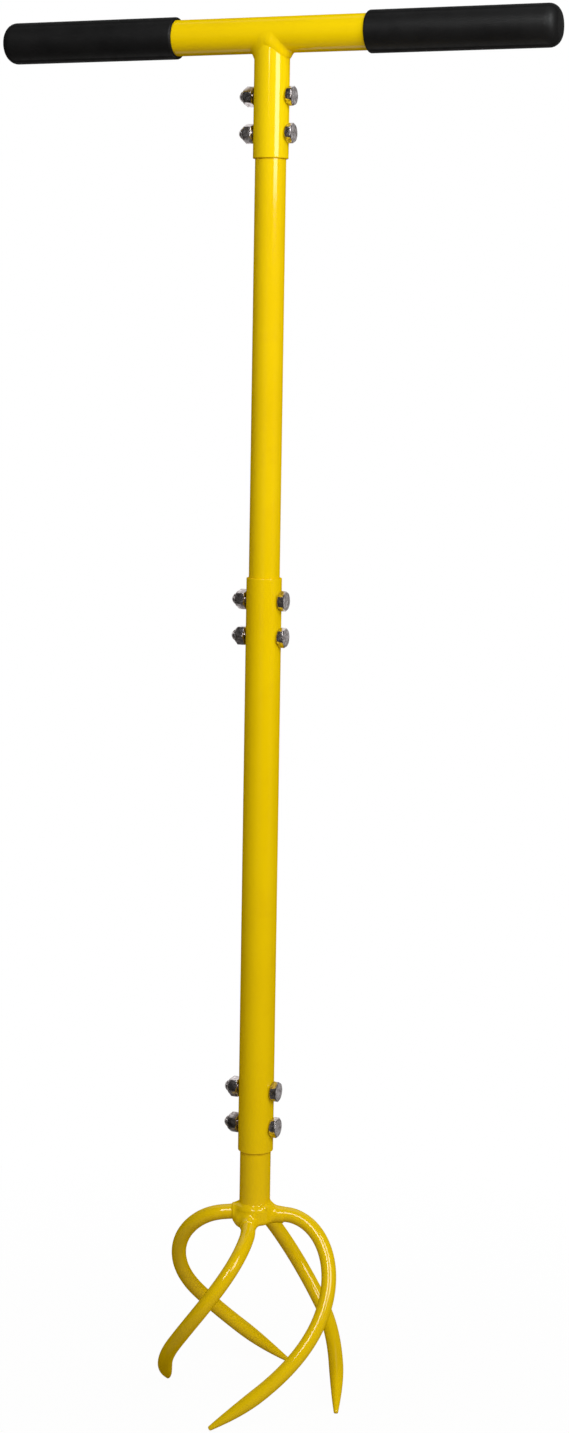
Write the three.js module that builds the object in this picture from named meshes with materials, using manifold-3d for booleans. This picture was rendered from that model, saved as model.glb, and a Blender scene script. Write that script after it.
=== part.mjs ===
// Twist tiller: a waist-high hand tool with a crossbar handle, a two-piece
// telescoped shaft held by through bolts, and a head of four twisted tines.
// Millimetres, +Z up. The origin lies on the shaft's axis at the height of the tine tips.
// The crossbar and all bolts lie along X, with the bolt heads at +X.

import * as THREE from 'three';
import { mergeVertices } from 'three/addons/utils/BufferGeometryUtils.js';
import Module from 'manifold-3d';

const wasm = await Module();
wasm.setup();

// Shaft tubes
const stemOuter = 22.2;
const stemWall = 1.5;
const sleeveWall = 1.3;
const fitGap = 0.3;
const insertDepth = 62;
const tubeEdge = 0.5;
const stemRadius = stemOuter / 2;
const sleeveBore = stemRadius + fitGap;
const sleeveRadius = sleeveBore + sleeveWall;

// Heights, stacked up from the tine tips
const armHeight = 135.7;
const stemReveal = 45.5;
const lowerTubeLength = 415.2;
const upperReveal = 298.5;
const teeLength = 87.3;
const lowerTubeBottom = armHeight + stemReveal;
const lowerTubeTop = lowerTubeBottom + lowerTubeLength;
const teeBottom = lowerTubeTop + upperReveal;
const barHeight = teeBottom + teeLength;

// Crossbar and grips
const barOuter = 25.8;
const barWall = 1.5;
const handleLength = 423.4;
const gripLength = 138.2;
const gripOuter = 30.2;
const gripEndWall = 3.5;
const gripEndRadius = 8;
const gripLipRadius = 2;
const barRadius = barOuter / 2;
const gripRadius = gripOuter / 2;
const gripBore = barRadius + fitGap;

// Saddle weld between the tee's socket and the crossbar
const saddleBead = 3;
const saddleSink = 1.5;
const saddleCrest = 3.2;

// Bolts, lock nuts and their nylon rings
const boltRadius = 3.9;
const boltPitch = 26.2;
const boltTipReach = 10.9;
const boltTipChamfer = 0.8;
const headAcrossFlats = 13;
const headThickness = 4.7;
const nutAcrossFlats = 13;
const nutHexLength = 5;
const nutLength = 8;
const nutChamfer = 1.1;
const collarRadius = 5.6;
const collarRound = 1.6;
const collarLip = 0.6;
const insertLength = 1.9;
const insertRadius = 4.9;
const seatGap = 0.2;
const holeRadius = boltRadius + fitGap;
const seatDistance = sleeveRadius + seatGap;

// Each bolted joint: the sleeve's open end, the first hole's distance from it,
// which way the sleeve runs from there, and how far each head and nut is turned in degrees
const teeEdge = 17.9;
const middleEdge = 16.2;
const footEdge = 17.9;
const joints = [
  { name: 'tee', end: teeBottom, edge: teeEdge, way: 1, heads: [4, 12], nuts: [9, -6] },
  { name: 'middle', end: lowerTubeTop, edge: middleEdge, way: -1, heads: [-1, 14], nuts: [9, 30] },
  { name: 'foot', end: lowerTubeBottom, edge: footEdge, way: 1, heads: [24, 0], nuts: [5, 20] },
];

// Hub: the boss that the tines are seated in, and the weld round the foot of its stem
const hubRadius = 15.6;
const hubRise = 6.2;
const hubFall = 7.8;
const hubShoulderShare = 0.93;
const hubFootShare = 0.5;
const hubFootRiseShare = 0.36;
const stemWeldHeight = 2.4;
const stemWeldLeg = 0.7;
const tineWeldReach = 2.4;
const tineWeldRoot = 2.2;
const tineWeldLeg = 1.2;
const tineWeldEdge = 0.5;

// Tines: a straight arm out of the hub, a shoulder bend down to the waist, and a sweep to the tip
const tineRadius = 5.3;
const tineSeat = 9;
const armReach = 22;
const shoulderPull = 33;
const waistRadius = 65;
const waistHeight = 54.5;
const waistSwing = 48.5;
const waistSlope = 44.9;
const waistPullIn = 53;
const waistPullOut = 32.8;
const tipCircle = 68.4;
const tipDive = 34.2;
const tipFlare = 26.7;
const tipPull = 21.8;
const tipRadius = 1.5;
const tipFlat = 0.6;
const taperLength = 41.5;
const taperPower = 1.7;

// Each tine is bent by hand: the way its arm points, how far the arm droops and how far round the tip
// swings back, all in degrees, then its shares of the shoulder's pull and of the waist's height
const tines = [
  { heading: 16, droop: 3, swing: 109, pullShare: 0.94, waistShare: 1.04 },
  { heading: 111, droop: 11, swing: 116, pullShare: 1, waistShare: 0.98 },
  { heading: 201, droop: 3, swing: 111, pullShare: 0.82, waistShare: 1.07 },
  { heading: 282, droop: 22, swing: 104, pullShare: 1.24, waistShare: 0.92 },
];

// Cuts reach this far past what they cut
const overrun = 4;

// Facets
const tubeSides = 32;
const holeSides = 12;
const boltSides = 16;
const beadSides = 8;
const tineSides = 10;
const tineSteps = 32;
const roundSteps = 3;

const { cos, sin, sqrt, PI } = Math;
const radians = THREE.MathUtils.degToRad;

// Finishes
function finish(color, roughness, metalness) {
  return () => new THREE.MeshStandardMaterial({ color, roughness, metalness });
}
const paint = finish('#e3bd00', 0.3, 0);
const rubber = finish('#17171a', 0.8, 0);
const zinc = finish('#a9a5a6', 0.3, 1);
const nylon = finish('#d9d6c8', 0.6, 0);

// A closed geometry as a solid that can be cut, and back again
function solidOf(geometry) {
  const bare = geometry.clone();
  bare.deleteAttribute('normal');
  bare.deleteAttribute('uv');
  const merged = mergeVertices(bare);
  const corners = merged.index.array;
  const kept = [];
  for (let i = 0; i < corners.length; i += 3) {
    const [a, b, c] = corners.slice(i, i + 3);
    if (a !== b && b !== c && c !== a) kept.push(a, b, c);
  }
  return new wasm.Manifold(new wasm.Mesh({
    numProp: 3,
    vertProperties: merged.attributes.position.array,
    triVerts: Uint32Array.from(kept),
  }));
}

function geometryOf(solid) {
  const mesh = solid.getMesh();
  const geometry = new THREE.BufferGeometry();
  geometry.setAttribute('position', new THREE.BufferAttribute(mesh.vertProperties, 3));
  geometry.setIndex(new THREE.BufferAttribute(mesh.triVerts, 1));
  geometry.computeVertexNormals();
  return geometry;
}

// A profile of [radius, place along the axis] pairs spun round Z
function spun(profile, sides) {
  const points = profile.map(([radius, along]) => new THREE.Vector2(radius, along));
  return new THREE.LatheGeometry(points, sides).rotateX(PI / 2);
}

// The same, spun round X
function spunAlongX(profile, sides) {
  return spun(profile, sides).rotateY(PI / 2);
}

// A quarter round from one profile point to another, bulging out or hollow
function quarterRound([r0, z0], [r1, z1], outwardFirst) {
  const points = [];
  for (let i = 0; i <= roundSteps; i += 1) {
    const turn = (i / roundSteps) * PI / 2;
    const radial = outwardFirst ? sin(turn) : 1 - cos(turn);
    const axial = outwardFirst ? 1 - cos(turn) : sin(turn);
    points.push([r0 + (r1 - r0) * radial, z0 + (z1 - z0) * axial]);
  }
  return points;
}

// A tube along Z with its outer edges broken
function tube(radius, bore, bottom, top) {
  return spun([
    [bore, bottom], [radius - tubeEdge, bottom], [radius, bottom + tubeEdge],
    [radius, top - tubeEdge], [radius - tubeEdge, top], [bore, top], [bore, bottom],
  ], tubeSides);
}

// A solid rod along X through a given height
function rodAlongX(radius, length, height, sides) {
  return new THREE.CylinderGeometry(radius, radius, length, sides).rotateZ(PI / 2).translate(0, 0, height);
}

// The heights of the two holes of a joint, the one nearer the sleeve's end first
function holeHeights(joint) {
  const first = joint.end + joint.way * joint.edge;
  return [first, first + joint.way * boltPitch];
}

// A tube with the bolt holes of the joints that it takes part in
function drilled(geometry, atJoints) {
  let solid = solidOf(geometry);
  const length = 2 * (sleeveRadius + overrun);
  for (const joint of atJoints) {
    for (const height of holeHeights(joint)) {
      solid = solid.subtract(solidOf(rodAlongX(holeRadius, length, height, holeSides)));
    }
  }
  return solid;
}

const [teeJoint, middleJoint, footJoint] = joints;

// Crossbar
function crossbar() {
  const half = handleLength / 2 - gripEndWall - fitGap;
  return spunAlongX([
    [barRadius - barWall, -half], [barRadius, -half], [barRadius, half],
    [barRadius - barWall, half], [barRadius - barWall, -half],
  ], tubeSides).translate(0, 0, barHeight);
}

// Grip: a sleeve pushed over the end of the bar, closed at the outer end
function grip() {
  const inner = handleLength / 2 - gripLength;
  const outer = handleLength / 2;
  return spunAlongX([
    [0, outer - gripEndWall], [gripBore, outer - gripEndWall], [gripBore, inner],
    ...quarterRound([gripRadius - gripLipRadius, inner], [gripRadius, inner + gripLipRadius], true),
    ...quarterRound([gripRadius, outer - gripEndRadius], [gripRadius - gripEndRadius, outer], false),
    [0, outer],
  ], tubeSides);
}

// Socket of the tee, coped to the underside of the crossbar
function teeSocket() {
  const barSpace = rodAlongX(barRadius + fitGap, 2 * (sleeveRadius + overrun), barHeight, tubeSides);
  const blank = drilled(tube(sleeveRadius, sleeveBore, teeBottom, barHeight), [teeJoint]);
  return geometryOf(blank.subtract(solidOf(barSpace)));
}

// Weld bead along the saddle where the socket meets the crossbar
function saddleWeld() {
  const ring = new THREE.TorusGeometry(sleeveRadius, saddleBead, beadSides, tubeSides);
  const place = ring.attributes.position;
  for (let i = 0; i < place.count; i += 1) {
    const round = Math.atan2(place.getY(i), place.getX(i));
    const sink = saddleSink * sin(round) ** 2;
    const drop = sqrt((sleeveRadius * cos(round)) ** 2 + saddleCrest ** 2);
    place.setX(i, place.getX(i) - sink * cos(round));
    place.setY(i, place.getY(i) - sink * sin(round));
    place.setZ(i, place.getZ(i) + barHeight - drop);
  }
  const reach = 2 * (sleeveRadius + saddleBead + overrun);
  const barSpace = rodAlongX(barRadius + fitGap, reach, barHeight, tubeSides);
  const socketSpace = spun([
    [0, teeBottom], [sleeveRadius + fitGap, teeBottom],
    [sleeveRadius + fitGap, barHeight], [0, barHeight],
  ], tubeSides);
  return geometryOf(solidOf(ring).subtract(solidOf(barSpace)).subtract(solidOf(socketSpace)));
}

// The three lengths of shaft
function upperTube() {
  const blank = tube(stemRadius, stemRadius - stemWall, lowerTubeTop - insertDepth, teeBottom + insertDepth);
  return geometryOf(drilled(blank, [teeJoint, middleJoint]));
}

function lowerTube() {
  const blank = tube(sleeveRadius, sleeveBore, lowerTubeBottom, lowerTubeTop);
  return geometryOf(drilled(blank, [middleJoint, footJoint]));
}

function tineStem() {
  const foot = armHeight + hubRise + fitGap;
  const blank = tube(stemRadius, stemRadius - stemWall, foot, lowerTubeBottom + insertDepth);
  return geometryOf(drilled(blank, [footJoint]));
}

// Hub boss, as a solid of revolution that can be grown by a clearance
function hubBlank(grow) {
  const top = armHeight + hubRise + grow;
  const bottom = armHeight - hubFall - grow;
  const radius = hubRadius + grow;
  const rise = hubFall * hubFootRiseShare;
  return spun([
    [0, bottom],
    ...quarterRound([radius * hubFootShare, bottom], [radius, armHeight - rise], true),
    [radius, armHeight + rise], [radius * hubShoulderShare, top], [0, top],
  ], tubeSides);
}

// The straight stretch of a tine as a rod of a given radius, from one distance along it to another
function armRod({ heading, droop }, radii, from, to) {
  const rod = spunAlongX([[0, from], [radii[0], from], [radii[1], to], [0, to]], holeSides);
  return rod.rotateY(radians(droop)).translate(0, 0, armHeight).rotateZ(radians(heading));
}

function hubBoss() {
  let solid = solidOf(hubBlank(0));
  const bore = tineRadius + fitGap;
  for (const bend of tines) {
    const socket = armRod(bend, [bore, bore], tineSeat - fitGap, hubRadius + overrun);
    solid = solid.subtract(solidOf(socket));
  }
  return geometryOf(solid);
}

// Weld round the foot of the stem, on top of the boss
function stemWeld() {
  const bottom = armHeight + hubRise + fitGap;
  const inner = stemRadius + fitGap;
  return spun([
    [inner, bottom],
    ...quarterRound([hubRadius * hubShoulderShare, bottom], [inner + stemWeldLeg, bottom + stemWeldHeight], false),
    [inner, bottom + stemWeldHeight], [inner, bottom],
  ], tubeSides);
}

// Weld where a tine leaves the boss
function tineWeld(bend) {
  const outer = hubRadius + tineWeldReach;
  const bore = tineRadius + fitGap;
  const cone = armRod(bend, [bore + tineWeldLeg, bore + tineWeldEdge], hubRadius - tineWeldRoot, outer);
  const hole = armRod(bend, [bore, bore], 0, outer + overrun);
  return geometryOf(solidOf(cone).subtract(solidOf(hole)).subtract(solidOf(hubBlank(fitGap))));
}

// Centre line of a tine whose arm points along +X, from the hub down to the tip
function tinePath({ droop, swing, pullShare, waistShare }) {
  const up = new THREE.Vector3(0, 0, 1);
  const outward = (turn) => new THREE.Vector3(cos(-radians(turn)), sin(-radians(turn)), 0);
  const onward = (turn) => outward(turn + 90);
  const tilted = (level, down) => level.clone().multiplyScalar(cos(radians(down)))
    .addScaledVector(up, -sin(radians(down)));
  const at = (turn, radius, height) => outward(turn).multiplyScalar(radius).addScaledVector(up, height);
  const armWay = tilted(outward(0), droop);
  const origin = at(0, 0, armHeight);
  const seat = origin.clone().addScaledVector(armWay, tineSeat);
  const bend = origin.clone().addScaledVector(armWay, armReach);
  const waist = at(waistSwing, waistRadius, waistHeight * waistShare);
  const waistWay = tilted(onward(waistSwing), waistSlope);
  const tip = at(swing, tipCircle, tipRadius * cos(radians(tipDive)) - tipFlat);
  const tipWay = tilted(onward(swing - tipFlare), tipDive);
  const path = new THREE.CurvePath();
  path.add(new THREE.LineCurve3(seat, bend));
  path.add(new THREE.CubicBezierCurve3(
    bend, bend.clone().addScaledVector(armWay, shoulderPull * pullShare),
    waist.clone().addScaledVector(waistWay, -waistPullIn), waist,
  ));
  path.add(new THREE.CubicBezierCurve3(
    waist, waist.clone().addScaledVector(waistWay, waistPullOut),
    tip.clone().addScaledVector(tipWay, -tipPull), tip,
  ));
  return path;
}

// Tine: a tapered round bar, made straight and then bent along its centre line
function tine(bend) {
  const path = tinePath(bend);
  const length = path.getLength();
  const profile = [[0, 0]];
  for (let i = 0; i <= tineSteps; i += 1) {
    const along = length * i / tineSteps;
    const left = Math.min((length - along) / taperLength, 1);
    profile.push([tipRadius + (tineRadius - tipRadius) * (1 - (1 - left) ** taperPower), along]);
  }
  profile.push([0, length]);
  const rod = spun(profile, tineSides);
  const frames = path.computeFrenetFrames(tineSteps, false);
  const place = rod.attributes.position;
  const spot = new THREE.Vector3();
  for (let i = 0; i < place.count; i += 1) {
    const step = Math.round(place.getZ(i) / length * tineSteps);
    spot.copy(path.getPointAt(step / tineSteps));
    spot.addScaledVector(frames.normals[step], place.getX(i));
    spot.addScaledVector(frames.binormals[step], place.getY(i));
    place.setXYZ(i, spot.x, spot.y, spot.z);
  }
  const across = 2 * (tipCircle + overrun);
  const ground = new THREE.BoxGeometry(across, across, overrun).translate(0, 0, -overrun / 2);
  const solid = solidOf(rod.rotateZ(radians(bend.heading)));
  return geometryOf(solid.subtract(solidOf(ground)));
}

// Six-sided prism along X from the origin
function hexPrism(acrossFlats, length) {
  const prism = new THREE.CylinderGeometry(acrossFlats / sqrt(3), acrossFlats / sqrt(3), length, 6);
  return prism.rotateZ(PI / 2).translate(length / 2, 0, 0);
}

// Bolt along X: the underside of its head is at the origin and its tip points to -X
function bolt() {
  const tip = -(2 * seatDistance + boltTipReach);
  const shank = spunAlongX([
    [0, tip], [boltRadius - boltTipChamfer, tip], [boltRadius, tip + boltTipChamfer],
    [boltRadius, headThickness / 2], [0, headThickness / 2],
  ], boltSides);
  const corner = headAcrossFlats / sqrt(3);
  const fall = (corner - headAcrossFlats / 2) / 2;
  const round = spunAlongX([
    [0, 0], [corner, 0], [corner, headThickness - fall],
    [headAcrossFlats / 2, headThickness], [0, headThickness],
  ], boltSides * 2);
  return geometryOf(solidOf(hexPrism(headAcrossFlats, headThickness)).intersect(solidOf(round)).add(solidOf(shank)));
}

// Where the nylon ring's groove lies in the nut
const grooveStart = nutLength - collarLip - insertLength - 2 * fitGap;
const grooveEnd = nutLength - collarLip;

// Lock nut along X: its bearing face is at the origin and its domed collar points to +X
function lockNut() {
  const corner = nutAcrossFlats / sqrt(3);
  const mouth = insertRadius - fitGap;
  const ring = spunAlongX([
    [holeRadius, 0], [nutAcrossFlats / 2, 0], [corner, nutChamfer / 2],
    [corner, nutHexLength - nutChamfer], [collarRadius, nutHexLength],
    ...quarterRound([collarRadius, nutLength - collarRound], [mouth + fitGap, nutLength], false),
    [mouth, nutLength], [mouth, grooveEnd],
    [insertRadius + fitGap, grooveEnd], [insertRadius + fitGap, grooveStart],
    [holeRadius, grooveStart], [holeRadius, 0],
  ], boltSides);
  return geometryOf(solidOf(hexPrism(nutAcrossFlats, nutLength)).intersect(solidOf(ring)));
}

// Nylon ring inside the nut's collar
function nylonInsert() {
  const from = grooveStart + fitGap;
  const to = grooveEnd - fitGap;
  return spunAlongX([
    [holeRadius, from], [insertRadius, from], [insertRadius, to], [holeRadius, to], [holeRadius, from],
  ], boltSides);
}

// Scene graph
function piece(name, geometry, material) {
  const mesh = new THREE.Mesh(geometry, material());
  mesh.name = name;
  return mesh;
}

const handle = new THREE.Group();
handle.add(piece('crossbar', crossbar(), paint));
handle.add(piece('tee_socket', teeSocket(), paint));
handle.add(piece('saddle_weld', saddleWeld(), paint));
for (const [name, turn] of [['grip_right', 0], ['grip_left', PI]]) {
  const mesh = piece(name, grip(), rubber);
  mesh.position.set(0, 0, barHeight);
  mesh.rotation.set(0, 0, turn);
  handle.add(mesh);
}

const shaft = new THREE.Group();
shaft.add(piece('upper_tube', upperTube(), paint));
shaft.add(piece('lower_tube', lowerTube(), paint));

const head = new THREE.Group();
head.add(piece('tine_stem', tineStem(), paint));
head.add(piece('hub_boss', hubBoss(), paint));
head.add(piece('stem_weld', stemWeld(), paint));
tines.forEach((bend, i) => {
  head.add(piece(`tine_${i + 1}`, tine(bend), paint));
  head.add(piece(`tine_weld_${i + 1}`, tineWeld(bend), paint));
});

const hardware = new THREE.Group();
for (const joint of joints) {
  holeHeights(joint).forEach((height, i) => {
    const set = new THREE.Group();
    set.position.set(0, 0, height);
    const screw = piece(`bolt_${joint.name}_${i + 1}`, bolt(), zinc);
    screw.position.set(seatDistance, 0, 0);
    screw.rotation.set(-radians(joint.heads[i]), 0, 0);
    const nut = piece(`lock_nut_${joint.name}_${i + 1}`, lockNut(), zinc);
    const ring = piece(`nylon_insert_${joint.name}_${i + 1}`, nylonInsert(), nylon);
    for (const part of [nut, ring]) {
      part.position.set(-seatDistance, 0, 0);
      part.rotation.set(-radians(joint.nuts[i]), 0, PI);
    }
    set.add(screw, nut, ring);
    hardware.add(set);
  });
}

const tiller = new THREE.Group();
tiller.add(handle, shaft, head, hardware);

export default tiller;
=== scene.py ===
import math

import bpy
import numpy as np
from mathutils import Matrix, Vector


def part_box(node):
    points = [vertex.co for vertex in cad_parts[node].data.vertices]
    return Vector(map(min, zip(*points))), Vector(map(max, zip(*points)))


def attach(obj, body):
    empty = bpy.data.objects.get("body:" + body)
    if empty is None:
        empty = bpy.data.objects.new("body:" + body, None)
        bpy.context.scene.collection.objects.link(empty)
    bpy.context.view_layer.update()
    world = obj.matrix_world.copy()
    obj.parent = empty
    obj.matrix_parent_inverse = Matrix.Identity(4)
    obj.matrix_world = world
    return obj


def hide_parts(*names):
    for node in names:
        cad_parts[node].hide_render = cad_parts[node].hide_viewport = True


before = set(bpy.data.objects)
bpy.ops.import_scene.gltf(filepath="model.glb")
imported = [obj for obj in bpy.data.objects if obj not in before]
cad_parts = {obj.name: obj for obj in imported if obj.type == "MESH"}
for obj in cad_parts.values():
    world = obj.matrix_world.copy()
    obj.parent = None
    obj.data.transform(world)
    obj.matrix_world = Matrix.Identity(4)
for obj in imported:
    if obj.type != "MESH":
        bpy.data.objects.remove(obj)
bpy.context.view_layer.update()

# Lengths below are in millimetres, and are scaled to metres in the meshes. Headings, swings, slopes,
# dives, flares and droops are in degrees.
MM = 0.001
UP = np.array((0.0, 0.0, 1.0))
TURN = 2 * math.pi


def extent(node):
    """Lowest and highest corner of a solid, in millimetres."""
    low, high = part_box(node)
    return np.array(low) / MM, np.array(high) / MM


# Sizes taken from the solids
BAR_LOW, BAR_HIGH = extent("crossbar")
BAR_HEIGHT = (BAR_LOW[2] + BAR_HIGH[2]) / 2
BAR_RADIUS = (BAR_HIGH[2] - BAR_LOW[2]) / 2
SOCKET_LOW, SOCKET_HIGH = extent("tee_socket")
SLEEVE_RADIUS = (SOCKET_HIGH[0] - SOCKET_LOW[0]) / 2
UPPER_LOW, UPPER_HIGH = extent("upper_tube")
STEM_RADIUS = (UPPER_HIGH[0] - UPPER_LOW[0]) / 2
LOWER_LOW, LOWER_HIGH = extent("lower_tube")
STEM_LOW, STEM_HIGH = extent("tine_stem")

# Tubes
SLEEVE_WALL = 1.3
STEM_WALL = 1.5
RIM_ROUND = 0.45
RIM_HOLD = 0.8
INNER_ROUND_SHARE = 0.3
TUBE_SIDES = 96

# Tines: a straight arm out of the hub, an arc down to the waist and an arc to the tip. A pull is how
# strongly an arc is drawn along its line at one of its ends.
ARM_HEIGHT = 135.7
ARM_REACH = 22.0
TINE_SEAT = 9.0
SHOULDER_PULL = 33.0
WAIST_RADIUS = 65.0
WAIST_HEIGHT = 54.5
WAIST_SWING = 48.5
WAIST_SLOPE = 44.9
WAIST_PULL_IN = 53.0
WAIST_PULL_OUT = 32.8
TIP_CIRCLE = 68.4
TIP_DIVE = 34.2
TIP_FLARE = 26.7
TIP_PULL = 21.8
TIP_RADIUS = 1.5
TIP_FLAT = 0.6
TIP_ROUND = 0.7
NOSE_STEPS = 6
NOSE_START_SHARE = 0.2
NOSE_CLOSED_SHARE = 0.97
TINE_RADIUS = 5.3
TAPER_LENGTH = 41.5
TAPER_POWER = 1.7
TINE_SIDES = 32
TINE_STEP = 1.2
ARC_POINTS = 120
TINE_WAVE = 0.02
TINE_WAVE_LENGTH = 17.0
ROOT_SHIFT_FULL = 12.0
ROOT_SHIFT_END = 29.0

# Each tine has its heading, its arm's droop and its tip's swing in degrees, and its shares of the
# shoulder's pull and the waist's height. Its weld collar is thicker than the tine by "over", ends at
# "reach", thins over "flare" and runs into the tine over "soft". Its root is off its line by "shift".
TINES = (
    {"heading": 16, "droop": 3, "swing": 109, "pull_share": 0.94, "waist_share": 1.04,
     "over": 1.1, "reach": 21.0, "flare": 10.0, "soft": 2.5, "shift": (0.0, -0.5)},
    {"heading": 111, "droop": 11, "swing": 116, "pull_share": 1.0, "waist_share": 0.98,
     "over": 0.6, "reach": 16.0, "flare": 1.0, "soft": 2.0, "shift": (0.0, 0.0)},
    {"heading": 201, "droop": 3, "swing": 111, "pull_share": 0.82, "waist_share": 1.07,
     "over": 1.1, "reach": 16.2, "flare": 0.5, "soft": 0.5, "shift": (0.0, 0.4)},
    {"heading": 282, "droop": 22, "swing": 104, "pull_share": 1.24, "waist_share": 0.92,
     "over": 0.3, "reach": 17.0, "flare": 4.0, "soft": 3.0, "shift": (-1.5, 0.0)},
)

# Grid that the welds are built on
NET_CELL = 0.42
NET_MARGIN = 1.0

# Hub and its welds. A blend is the size of a fillet, a root the part of a rod inside the hub, and a
# wave the skin's unevenness.
UNDER_SKIN = 0.1
BOSS_RADIUS = 14.2
BOSS_TOP = 142.3
BOSS_BOTTOM = 128.3
BOSS_ROUND = 3.6
COLLAR_ROOT = 5.0
HUB_BLEND = 2.6
STEM_TOP = 148.0
STEM_BLEND = 1.8
ROOT_REACH = 21.0
ROOT_OVERLAP = 1.5
GUSSET = 4.2
GUSSET_BLEND = 1.5
WEB_HEADING = 236.0
WEB_OUT = 11.0
WEB_HEIGHT = 131.0
WEB_SIZE = 5.0
WEB_BLEND = 5.0
SPOT_BLEND = 1.2
HUB_WAVE = 0.04
HUB_WAVE_LENGTH = 5.3
HUB_WAVE_SEED = 0.7
HUB_NET_REACH = 22.5
HUB_NET_DROP = 9.0
WELD_SPOTS = (
    {"heading": 321, "out": 11.9, "height": 142.6, "size": 1.1},
    {"heading": 328, "out": 13.3, "height": 141.2, "size": 1.1},
    {"heading": 292, "out": 13.5, "height": 136.6, "size": 1.4},
    {"heading": 292, "out": 13.7, "height": 133.6, "size": 1.4},
)

# Saddle weld under the crossbar: a bead that is faint on the left and full on the right
SADDLE_BEAD = 3.2
SADDLE_FAINT = 1.6
SADDLE_CREST = 6.4
SOCKET_SINK = 0.5
SADDLE_SINK = 1.7
SADDLE_INSET = 0.3
SADDLE_WIDTH_SHARE = 0.72
SADDLE_HEIGHT_SHARE = 1.15
SADDLE_STEEP_SHARE = 0.30
SADDLE_MIDDLE_SHARE = 0.8
SADDLE_RISE_SHARE = 1.6
SADDLE_FADE_SHARE = 0.5
SADDLE_RIPPLE = 0.06
SADDLE_RIPPLES = 24
RIPPLE_DRIFT = 2
RIPPLE_DRIFTS = 3
BAR_BLEND = 4.8
SOCKET_BLEND = 0.5
SOCKET_BLEND_LEFT = 2.2
SADDLE_REACH = 19.0
SADDLE_DROP = 18.5
SADDLE_NET_REACH = 19.6
SADDLE_NET_WIDTH = 17.0
SADDLE_NET_DROP = 19.2

# Bolts and lock nuts, with heights counted from their bearing faces
SEAT_GAP = 0.2
SEAT_DISTANCE = SLEEVE_RADIUS + SEAT_GAP
BOLT_RADIUS = 3.9
BOLT_TIP_REACH = 10.9
BOLT_TIP = 2 * SEAT_DISTANCE + BOLT_TIP_REACH
TIP_CHAMFER = 1.5
THREAD_PITCH = 1.25
THREAD_DEPTH = 0.45
THREAD_LENGTH = 6.0
THREAD_STEP = 0.125
THREAD_SLOPE = 1.35
THREAD_CREST = 0.15
NECK_ROUND = 0.3
ACROSS_FLATS = 13.0
HEAD_THICKNESS = 4.7
HEAD_TOP_SHARE = 0.985
HEAD_FOOT_SHARE = 0.99
HEAD_FACE_INSET = 0.5
CHAMFER_SLOPE = math.tan(math.radians(30))
HEX_SIDES = 96
HEX_CORNER_ROUND = 0.12
HEX_BLEND = 3 * HEX_CORNER_ROUND
EDGE_ROUND = 0.22
EDGE_BITE_SHARE = 0.3
NUT_HEX = 6.4
NUT_LENGTH = 8.0
NUT_BORE = 4.15
NUT_BORE_CHAMFER = 0.5
NUT_FOOT_SHARE = 0.95
COLLAR_RADIUS = 6.1
COLLAR_MOUTH = 4.5
DOME_STEPS = 9
RING_RADIUS = 4.85
RING_FOOT = 5.2
RING_TOP = 7.1
RING_GAP = 0.1
RING_FIT = 0.02
RING_ROUND = 0.2

# How far each head and nut is turned, in degrees, at the three bolted joints
JOINTS = (
    {"name": "tee", "heads": (4, 12), "nuts": (9, -6)},
    {"name": "middle", "heads": (-1, 14), "nuts": (9, 30)},
    {"name": "foot", "heads": (24, 0), "nuts": (5, 20)},
)

# Grips
GRIP_LIP = 1.6
GRIP_END_ROUND = 8.0
GRIP_BORE_GAP = 0.3
GRIP_END_WALL = 3.5
GRIP_INNER_ROUND = 0.5
GRIP_VENT = 0.4
LIP_HOLD_SHARE = 1.3
END_HOLD_SHARE = 1.2
GRIP_STEPS = 8
GRIP_SIDES = 96

# Angles in degrees above which an edge is drawn sharp
CREASE = 40
WELD_CREASE = 70
STEEL_CREASE = 28


# Mesh helpers

def outline(corners, steps=5):
    """A closed polyline through (r, z, rounding) corners, each rounded by an arc."""
    points = []
    count = len(corners)
    for i, (r, z, rounding) in enumerate(corners):
        here = np.array((r, z), float)
        if rounding == 0:
            points.append(here)
            continue
        back = np.array(corners[i - 1][:2]) - here
        ahead = np.array(corners[(i + 1) % count][:2]) - here
        back /= np.linalg.norm(back)
        ahead /= np.linalg.norm(ahead)
        half = math.acos(np.clip(back @ ahead, -1, 1)) / 2
        middle = back + ahead
        centre = here + middle / np.linalg.norm(middle) * rounding / math.sin(half)
        start = here + back * rounding / math.tan(half) - centre
        end = here + ahead * rounding / math.tan(half) - centre
        first = math.atan2(start[1], start[0])
        sweep = (math.atan2(end[1], end[0]) - first + math.pi) % TURN - math.pi
        for step in range(steps + 1):
            angle = first + sweep * step / steps
            points.append(centre + rounding * np.array((math.cos(angle), math.sin(angle))))
    return np.array(points)


def loft(rings, closed=False):
    """Quads between rings of points, with capped ends unless the rings close on themselves."""
    rings = np.asarray(rings, float)
    count, sides, _ = rings.shape
    faces = []
    for i in range(count if closed else count - 1):
        a = i * sides
        b = (i + 1) % count * sides
        for j in range(sides):
            k = (j + 1) % sides
            faces.append((a + j, a + k, b + k, b + j))
    if not closed:
        faces.append(tuple(range(sides - 1, -1, -1)))
        faces.append(tuple(range((count - 1) * sides, count * sides)))
    return rings.reshape(-1, 3), faces


def spun(profile, sides):
    """A closed profile of (r, z) points turned about Z."""
    angles = np.arange(sides) * TURN / sides
    r = profile[:, 0:1]
    z = np.repeat(profile[:, 1:2], sides, axis=1)
    rings = np.stack((r * np.cos(angles), r * np.sin(angles), z), axis=-1)
    return loft(rings, closed=True)


def along_x(points):
    """Lay a shape built along +Z down along +X."""
    x, y, z = np.moveaxis(np.asarray(points), -1, 0)
    return np.stack((z, y, -x), axis=-1)


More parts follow.
